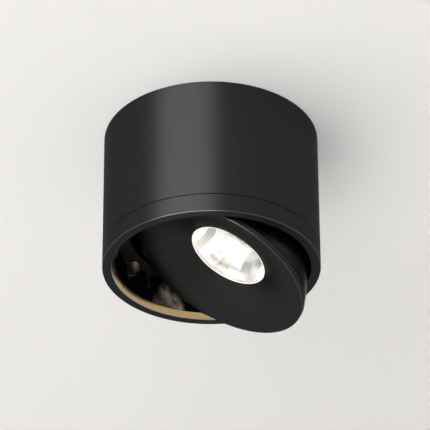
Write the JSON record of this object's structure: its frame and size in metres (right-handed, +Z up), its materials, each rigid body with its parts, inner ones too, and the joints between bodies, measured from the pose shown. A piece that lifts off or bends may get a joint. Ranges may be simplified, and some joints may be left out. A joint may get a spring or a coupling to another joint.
{
  "type": "surface mounted ceiling spotlight",
  "caption": "Round surface mounted ceiling spotlight: fixed tube, turning lower ring with a gold lip, and a dished round head that tilts out of it.",
  "frame": {"origin": "centre of the ceiling screw pattern, on the ceiling plane", "axes": "+Z up into the ceiling along the turning axis, X along the line of the two ceiling screws"},
  "size_m": [0.12, 0.12, 0.1083],
  "materials": {
    "black_coat": "fine matte black powder coat",
    "black_anodised": "satin black anodised casting",
    "gold_anodised": "satin gold anodised",
    "zinc_steel": "zinc plated sheet",
    "black_steel": "black coated sheet",
    "brass_screw": "plain brass",
    "black_screw": "blackened",
    "steel_screw": "zinc plated",
    "black_rubber": "matte",
    "grey_pad": "matte",
    "slip_plastic": "natural slip plastic",
    "driver_plastic": "fine textured",
    "white_plastic": "fine textured",
    "bright_metal": "polished",
    "clear_glass": "clear",
    "mirror_metal": "faceted bright reflector",
    "board_white": "white solder mask",
    "emitter_phosphor": "phosphor"
  },
  "bodies": {
    "housing": {"ceiling_plate": "zinc_steel", "cable_grommet": "black_rubber", "earth_screw": "brass_screw", "housing_tube": "black_coat", "housing_lock_screws": "black_screw", "gear_tray": "zinc_steel", "tray_screws": "steel_screw", "tray_grommet": "black_rubber", "led_driver": "driver_plastic", "driver_screws": "steel_screw", "terminal_block": "white_plastic", "terminal_screws": "steel_screw", "cord_clamp": "white_plastic", "cord_clamp_screws": "steel_screw", "glide_ring_upper": "slip_plastic", "glide_ring_lower": "slip_plastic"},
    "turning_ring": {"turning_ring": "black_coat", "accent_ring": "gold_anodised", "carrier_ring": "black_steel", "carrier_screws": "black_screw", "arc_bracket_near": "black_steel", "arc_bracket_far": "black_steel", "bracket_screws": "black_screw"},
    "lamp_head": {"front_disc": "black_coat", "disc_gasket": "black_rubber", "lens_bezel": "bright_metal", "cover_glass": "clear_glass", "reflector": "mirror_metal", "heat_sink": "black_anodised", "head_grommet": "black_rubber", "thermal_pad": "grey_pad", "led_board": "board_white", "led_emitter": "emitter_phosphor", "led_holder": "white_plastic", "holder_screws": "steel_screw", "guide_pins": "black_screw", "guide_rollers": "slip_plastic", "guide_washers": "black_screw", "friction_pads": "slip_plastic"}
  },
  "joints": [
    {"name": "turn", "type": "hinge", "parent": "housing", "child": "turning_ring", "pos_m": [0, 0, -0.0725], "axis": [0, 0, 1], "range_deg": [-175, 175]},
    {"name": "tilt", "type": "hinge", "parent": "turning_ring", "child": "lamp_head", "pos_m": [0, 0, -0.0911], "axis": [-0.1045, 0.9945, 0], "range_deg": [-28.9, 1.1]}
  ]
}
